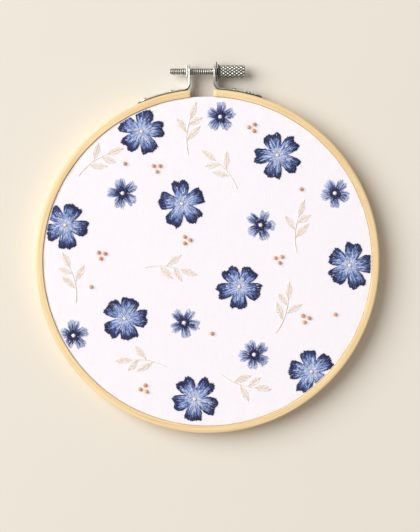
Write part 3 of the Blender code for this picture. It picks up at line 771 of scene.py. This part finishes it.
# Back of the work: the same motifs in fewer stitches, and the threads carried from one knot to the next.
BACK_REACH = 72.6
BACK_ROWS = (
    # rays a petal, outer and inner end as shares of the reach, raggedness, tone, contrast, rise, half width
    (15, 0.98, 0.70, 0.05, 0.12, 0.12, 0.12, 0.18),
    (10, 0.80, 0.40, 0.10, 0.45, 0.24, 0.18, 0.17),
    (6, 0.52, 0.12, 0.08, 0.74, 0.18, 0.24, 0.17),
)
rng = np.random.default_rng(500)
back_blue = []
for x, y, turn in LARGE_FLOWERS:
    back_blue.append(placed(flower(rng, LARGE_RADIUS, LARGE_PETAL, BACK_ROWS), x, y, turn))
back_light = []
for x, y, turn in SMALL_FLOWERS:
    back_light.append(placed(flower(rng, SMALL_RADIUS, SMALL_PETAL, SMALL_ROWS, sparse=0.6), x, y, turn))
back_beige = []
for x, y, turn, hand in SPRIGS:
    back_beige.append(placed(sprig(rng, hand, 1.1), x, y, turn))
carried = []
for first in range(len(SINGLES), len(berries), 3):
    corners = berries[first:first + 3]
    for start, end in ((0, 1), (1, 2)):
        carried.append([*corners[start], *corners[end], 0.16, 0.15, rng.normal(0, 0.2), 0.5])
for x, y in berries:
    tail = rng.uniform(0, 2 * math.pi)
    carried.append([x, y, x + 1.6 * math.cos(tail), y + 1.6 * math.sin(tail), 0.12, 0.15, 0.2, 0.4])
for name, tables, finish, slot in (
    ("back_of_blue", back_blue, blue_thread, "blue_thread"),
    ("back_of_light_blue", back_light, light_blue_thread, "pale_blue_thread"),
    ("back_of_sprigs", back_beige, beige_thread, "beige_thread"),
    ("back_of_knots", [np.array(carried)], orange_thread, "orange_thread"),
):
    needlework(name, [sewn(np.concatenate(tables), BACK_REACH, back=True)], finish)


# Outer hoop: a heavier strip of the same wood, planed smooth and lightly sealed, bent round the cloth and
# left open at the top, where the screw draws its two ends together.
OUTER_WALL = 3.4 * MM
OUTER_DEPTH = 10.0 * MM
SPLIT_LEFT = -8.1 * MM
SPLIT_RIGHT = 2.9 * MM
sealed_wood = wood_finish("sealed_beech", (0.975, 0.750, 0.418), (0.835, 0.595, 0.300), 0.42)


def split_ends(radius):
    return math.pi / 2 - np.arcsin(SPLIT_RIGHT / radius), -1.5 * math.pi - np.arcsin(SPLIT_LEFT / radius)


outer_section = rounded_section(
    (hoop_radius - OUTER_WALL, 0.0), (hoop_radius, OUTER_DEPTH), 0.5 * MM, 0.9 * MM, 0.25 * MM, 5
)
outer_ring = bent_strip("outer_ring", outer_section, split_ends, 420, 0.2 * MM, [sealed_wood, end_grain])
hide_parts("outer_hoop")


# Brackets: nickelled steel strip, bent up at each end of the split into an ear with a hole for the screw.
# Each foot is riveted along the hoop, and the right one is pressed into teeth towards its tip.
washer_low, washer_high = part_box("washer")
screw_rise = (washer_low.y + washer_high.y) / 2 - hoop_centre.y
screw_height = (washer_low.z + washer_high.z) / 2
STRIP_THICKNESS = 0.8 * MM
STRIP_EDGE = 0.22 * MM
STRIP_BEND = 3.2 * MM
EAR_RADIUS = 3.5 * MM
EAR_HOLE = 1.9 * MM
FOOT_LEFT = -33.0 * MM
FOOT_RIGHT = 26.1 * MM
TEETH_FROM = 17.4 * MM
TOOTH_PITCH = 1.6 * MM
TOOTH_HEIGHT = 0.7 * MM
EAR_FOOT = 86.0 * MM  # above this the strip is an ear
PAINTED_SHADE_DARK = 0.9  # how dark the painted shadow is on the foot's cut edges towards the wood, and in the teeth's troughs


def metal_finish(name, colour, dark, roughness):
    """Dull nickel plate, darkened with painted shade, and rougher, where the groove attribute says."""
    finish, tree, shader = new_finish(name, roughness, metallic=1.0)
    metres = add_node(tree, "ShaderNodeTexCoord").outputs["Object"]
    clouds = noise(tree, metres, (350.0, 350.0, 350.0), 4.0)
    brushing = noise(tree, metres, (400.0, 5200.0, 5200.0), 2.0)
    groove = add_node(tree, "ShaderNodeAttribute", attribute_name="groove").outputs["Fac"]
    worn = ramp(tree, clouds, ((0.35, tuple(0.82 * part for part in colour)), (0.65, colour)))
    # Painted shade: the groove attribute mixes the plate towards its dark colour.
    tree.links.new(mixed(tree, groove, worn, (*dark, 1.0)), shader.inputs["Base Color"])
    gloss = sums(tree, "MULTIPLY_ADD", brushing, 0.16, roughness - 0.08)
    gloss = sums(tree, "MULTIPLY_ADD", groove, 0.25, gloss)
    tree.links.new(gloss, shader.inputs["Roughness"])
    set_relief(tree, shader, brushing, 0.012 * MM)
    return finish


def strip_stations(side, split, foot, tip_steps=10, foot_steps=70, bend_steps=16):
    """Middle line of one bracket from its foot's tip to its ear's top: point, surface normal, half width."""
    foot_radius = hoop_radius + STRIP_THICKNESS / 2 + 0.15 * MM
    ear_x = split + side * STRIP_THICKNESS / 2
    bend_x = ear_x + side * STRIP_BEND
    bend_y = math.sqrt((foot_radius + STRIP_BEND) ** 2 - bend_x**2)
    bend_angle = math.atan2(bend_x, bend_y)
    tip_angle = math.asin(foot / foot_radius)
    end_angle = EAR_RADIUS / foot_radius
    stations = []
    for step in range(tip_steps):
        turn = math.pi / 2 * (step + 0.3) / (tip_steps + 0.3)
        angle = tip_angle - side * end_angle * (1 - math.cos(turn))
        stations.append((angle, EAR_RADIUS * math.sin(turn)))
    start = stations[-1][0]
    for step in range(1, foot_steps + 1):
        stations.append((start + (bend_angle - start) * step / foot_steps, EAR_RADIUS))
    line = []
    for angle, width in stations:
        normal = np.array([math.sin(angle), math.cos(angle)])
        line.append((normal * foot_radius, normal, width))
    middle = np.array([bend_x, bend_y])
    turn = math.pi / 2 - abs(bend_angle)
    for step in range(1, bend_steps + 1):
        angle = bend_angle + side * turn * step / bend_steps
        normal = np.array([math.sin(angle), math.cos(angle)])
        line.append((middle - normal * STRIP_BEND, normal, EAR_RADIUS))
    normal = np.array([side, 0.0])
    for step in range(tip_steps + 1):
        angle = math.pi / 2 * step / (tip_steps + 0.3)
        point = np.array([ear_x, screw_rise + EAR_RADIUS * math.sin(angle)])
        line.append((point, normal, EAR_RADIUS * math.cos(angle)))
    return line


def edged(half_thickness, half_width, ease):
    """The strip's section as (outwards, up), with its sharp edges just taken off."""
    ease = min(ease, 0.8 * half_width)
    points = []
    for out, up, start in ((-1, -1, math.pi), (1, -1, 1.5 * math.pi), (1, 1, 0.0), (-1, 1, 0.5 * math.pi)):
        for step in range(3):
            angle = start + math.pi / 4 * step
            points.append((
                out * (half_thickness - ease) + ease * math.cos(angle),
                up * (half_width - ease) + ease * math.sin(angle),
            ))
    return points


def bored(piece, cutter):
    """The piece with the cutter's shape taken out, as a plain mesh."""
    cut = piece.modifiers.new("bore", "BOOLEAN")
    cut.operation = "DIFFERENCE"
    cut.object = cutter
    made = bpy.data.meshes.new_from_object(piece.evaluated_get(bpy.context.evaluated_depsgraph_get()))
    piece.modifiers.clear()
    piece.data = made
    bpy.data.objects.remove(cutter)
    return piece


def screw_place(x, radius, angle):
    """A point round the screw's own line."""
    return (x, hoop_centre.y + screw_rise + radius * math.cos(angle), screw_height + radius * math.sin(angle))


def drill(x_from, x_to, radius, steps=48):
    """A rod along the screw's line, to cut a hole with."""
    verts = []
    for x in (x_from, x_to):
        verts += [screw_place(x, radius, 2 * math.pi * step / steps) for step in range(steps)]
    mesh = bpy.data.meshes.new("drill")
    mesh.from_pydata(verts, [], tube_faces(2, steps))
    made = bpy.data.objects.new("drill", mesh)
    bpy.context.scene.collection.objects.link(made)
    return made


def make_bracket(name, node, side, split, foot):
    verts = []
    grooves = []
    line = strip_stations(side, split, foot)
    for point, normal, half_width in line:
        # Painted shadow: along the foot, the cut edges are darkened on their half towards the wood.
        dark = PAINTED_SHADE_DARK if point[1] < EAR_FOOT else 0.0
        past = point[0] - TEETH_FROM
        wave = math.sin(2 * math.pi * past / TOOTH_PITCH) if past > 0 else 0.0
        tooth = TOOTH_HEIGHT * max(0.0, wave)
        # Painted shade: darkest in the troughs between the teeth, and a little on their crests.
        pressed = PAINTED_SHADE_DARK * min(1.0, max(0.1, 0.6 - 1.2 * wave)) if past > 0 else 0.0
        for out, up in edged(STRIP_THICKNESS / 2, half_width, STRIP_EDGE):
            lift = tooth if out > 0 and side > 0 and half_width > 0.5 * EAR_RADIUS else 0.0
            x, y = point + normal * (out + lift)
            verts.append((hoop_centre.x + x, hoop_centre.y + y, screw_height + up))
            grooves.append(dark if abs(up) > half_width - 1.2 * STRIP_EDGE and out < 0 else pressed)
    faces = tube_faces(len(line), len(verts) // len(line))
    if side > 0:
        faces = [face[::-1] for face in faces]
    piece = new_piece(name, verts, faces, [strip_steel])
    piece.data.attributes.new("groove", "FLOAT", "POINT").data.foreach_set("value", grooves)
    bored(piece, drill(split - 3 * MM, split + 3 * MM, EAR_HOLE))
    piece.data.shade_smooth()
    piece.data.set_sharp_from_angle(angle=math.radians(50))
    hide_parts(node)


strip_steel = metal_finish("strip_nickel", (0.88, 0.87, 0.84), (0.05, 0.045, 0.035), 0.30)
make_bracket("strip_left", "bracket_left", -1, SPLIT_LEFT, FOOT_LEFT)
make_bracket("strip_right", "bracket_right", 1, SPLIT_RIGHT, FOOT_RIGHT)

# Rivets: two in each foot, the domed heads of pins that go through the strip and the hoop.
RIVET_RADIUS = 1.5 * MM
RIVET_RISE = 0.8 * MM
RIVET_STEPS = 32
RIVETS = (
    # name, node, x on the hoop
    ("rivet_head_left_inner", "rivet_left_1", -17.2 * MM),
    ("rivet_head_left_outer", "rivet_left_2", -29.6 * MM),
    ("rivet_head_right_inner", "rivet_right_1", 12.7 * MM),
    ("rivet_head_right_outer", "rivet_right_2", 20.0 * MM),
)
for name, node, x in RIVETS:
    seat = hoop_radius + STRIP_THICKNESS + 0.1 * MM
    angle = math.asin(x / seat)
    outwards = Vector((math.sin(angle), math.cos(angle), 0.0))
    along = Vector((outwards.y, -outwards.x, 0.0))
    foot = hoop_centre + outwards * seat + Vector((0.0, 0.0, screw_height))
    verts = []
    rows = [(1.0, 0.0)] + [(math.cos(a), 0.25 + 0.95 * math.sin(a)) for a in np.linspace(0.0, 1.35, 8)]
    for share, rise in rows:
        for step in range(RIVET_STEPS):
            turn = -2 * math.pi * step / RIVET_STEPS
            spoke = along * math.cos(turn) + Vector((0.0, 0.0, math.sin(turn)))
            verts.append(foot + spoke * share * RIVET_RADIUS + outwards * rise * RIVET_RISE)
    rivet = new_piece(name, verts, tube_faces(len(rows), RIVET_STEPS), [strip_steel])
    rivet.data.set_sharp_from_angle(angle=math.radians(60))
    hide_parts(node)

# Nut: a square of steel plate, tapped for the screw, which the left ear keeps from turning.
nut_low, nut_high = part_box("nut")
NUT_EASE = 0.3 * MM
NUT_HOLE = 1.62 * MM
screw_steel = metal_finish("screw_nickel", (0.82, 0.81, 0.75), (0.050, 0.048, 0.030), 0.27)
shape = bmesh.new()
bmesh.ops.create_cube(shape, size=1.0)
bmesh.ops.scale(shape, vec=nut_high - nut_low, verts=shape.verts)
bmesh.ops.translate(shape, vec=(nut_high + nut_low) / 2, verts=shape.verts)
bmesh.ops.bevel(shape, geom=shape.edges[:], offset=NUT_EASE, segments=4, profile=0.5, affect="EDGES")
nut_mesh = bpy.data.meshes.new("square_nut")
shape.to_mesh(nut_mesh)
shape.free()
nut_mesh.materials.append(screw_steel)
nut = bpy.data.objects.new("square_nut", nut_mesh)
bpy.context.scene.collection.objects.link(nut)
bored(nut, drill(nut_low.x - MM, nut_high.x + MM, NUT_HOLE))
nut.data.shade_smooth()
nut.data.set_sharp_from_angle(angle=math.radians(40))
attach(nut, "hoop")
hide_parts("nut")


# Washer: a thin turned ring between the right ear and the screw's collar, which moves along with the screw.
def turned_piece(name, rows, steps, finish, body, closed):
    """Rows of (x, radius) turned round the screw's line: capped at both ends, or closed into a ring."""
    verts = []
    for x, radius in rows:
        verts += [screw_place(x, radius, 2 * math.pi * step / steps) for step in range(steps)]
    faces = tube_faces(len(rows), steps)
    if closed:
        last = (len(rows) - 1) * steps
        faces = faces[:-2] + [[last + i, last + (i + 1) % steps, (i + 1) % steps, i] for i in range(steps)]
    return new_piece(name, verts, faces, [finish], body)


WASHER_HOLE = 1.9 * MM
WASHER_EASE = 0.16 * MM
washer_radius = (washer_high.y - washer_low.y) / 2
washer_rows = rounded_section(
    (washer_low.x, WASHER_HOLE), (washer_high.x, washer_radius), WASHER_EASE, WASHER_EASE
)
dark_steel = metal_finish("washer_steel", (0.20, 0.20, 0.20), (0.05, 0.05, 0.04), 0.35)
washer = turned_piece("thin_washer", washer_rows[::-1], 96, dark_steel, "washer", closed=True)
washer.data.set_sharp_from_angle(angle=math.radians(50))
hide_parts("washer")

# Thumbscrew: one turned piece, with a rolled thread, a collar and a head knurled in diamonds for the
# fingers. Painted shade darkens the bottom of its grooves, the collar, and a little of the whole shank.
screw_low, screw_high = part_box("thumbscrew")
CREST = 1.6 * MM
ROOT = 1.3 * MM
PITCH = 1.0 * MM
COLLAR_RADIUS = 3.5 * MM
COLLAR_START = washer_high.x + 0.3 * MM
COLLAR_END = COLLAR_START + 0.7 * MM
HEAD_RADIUS = 3.2 * MM
HEAD_EASE = 0.75 * MM
KNURL_DEPTH = 0.5 * MM
KNURLS_AROUND = 11
KNURL_PITCH = 2.1 * MM
SCREW_SIDES = 96
KNURL_ROW = KNURL_PITCH / 12


def thread_radius(x, angle):
    """Radius and painted shade of the rolled thread: right-handed, with a flat crest and a round root."""
    depth = abs(2 * ((x / PITCH + angle / (2 * math.pi)) % 1.0) - 1)
    groove = min(1.0, max(0.0, 1.7 * depth - 0.55))
    taper = min(1.0, 0.72 + 0.28 * (x - screw_low.x) / (0.9 * MM))
    # Painted shade: a little all along the shank, and most at the bottom of the groove.
    return (CREST - (CREST - ROOT) * groove) * taper, 0.22 + 0.78 * groove


def knurl_radius(x, angle):
    """Radius and painted shade of the head: two families of crossing helical grooves, shaded most at their bottom."""
    around = KNURLS_AROUND * angle / (2 * math.pi)
    along = (x - COLLAR_END) / KNURL_PITCH
    cuts = [abs(2 * ((around + hand * along) % 1.0) - 1) for hand in (1, -1)]
    groove = max(max(cuts) - 0.15, 0.0) / 0.85
    from_ends = min(x - COLLAR_END, screw_high.x - x)
    shoulder = HEAD_EASE - math.sqrt(max(0.0, HEAD_EASE**2 - max(0.0, HEAD_EASE - from_ends) ** 2))
    return HEAD_RADIUS - shoulder - KNURL_DEPTH * groove**1.2, min(1.0, 1.2 * groove**2.0)


shank_x = np.arange(screw_low.x, COLLAR_START, PITCH / 9)
head_x = np.arange(COLLAR_END + 0.5 * KNURL_ROW, screw_high.x, KNURL_ROW)
COLLAR_ROWS = (
    # x, radius
    (COLLAR_START, CREST),
    (COLLAR_START, COLLAR_RADIUS - 0.2 * MM),
    (COLLAR_START + 0.2 * MM, COLLAR_RADIUS),
    (COLLAR_END - 0.2 * MM, COLLAR_RADIUS),
    (COLLAR_END, COLLAR_RADIUS - 0.2 * MM),
    (COLLAR_END, HEAD_RADIUS - HEAD_EASE - KNURL_DEPTH),
)
stations = [(x, thread_radius) for x in shank_x]
# Painted shade: the collar gets 0.75 of it, and the head's end 0.1.
stations += [(x, lambda _x, _angle, radius=radius: (radius, 0.75)) for x, radius in COLLAR_ROWS]
stations += [(x, knurl_radius) for x in head_x]
stations.append((screw_high.x, lambda _x, _angle: (HEAD_RADIUS - HEAD_EASE - 0.5 * KNURL_DEPTH, 0.1)))
verts = []
grooves = []
for x, profile in stations:
    for step in range(SCREW_SIDES):
        angle = 2 * math.pi * step / SCREW_SIDES
        radius, groove = profile(x, angle)
        verts.append(screw_place(x, radius, angle))
        grooves.append(groove)
thumbscrew = new_piece(
    "knurled_screw", verts, tube_faces(len(stations), SCREW_SIDES), [screw_steel], "thumbscrew"
)
thumbscrew.data.attributes.new("groove", "FLOAT", "POINT").data.foreach_set("value", grooves)
thumbscrew.data.set_sharp_from_angle(angle=math.radians(55))
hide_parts("thumbscrew")
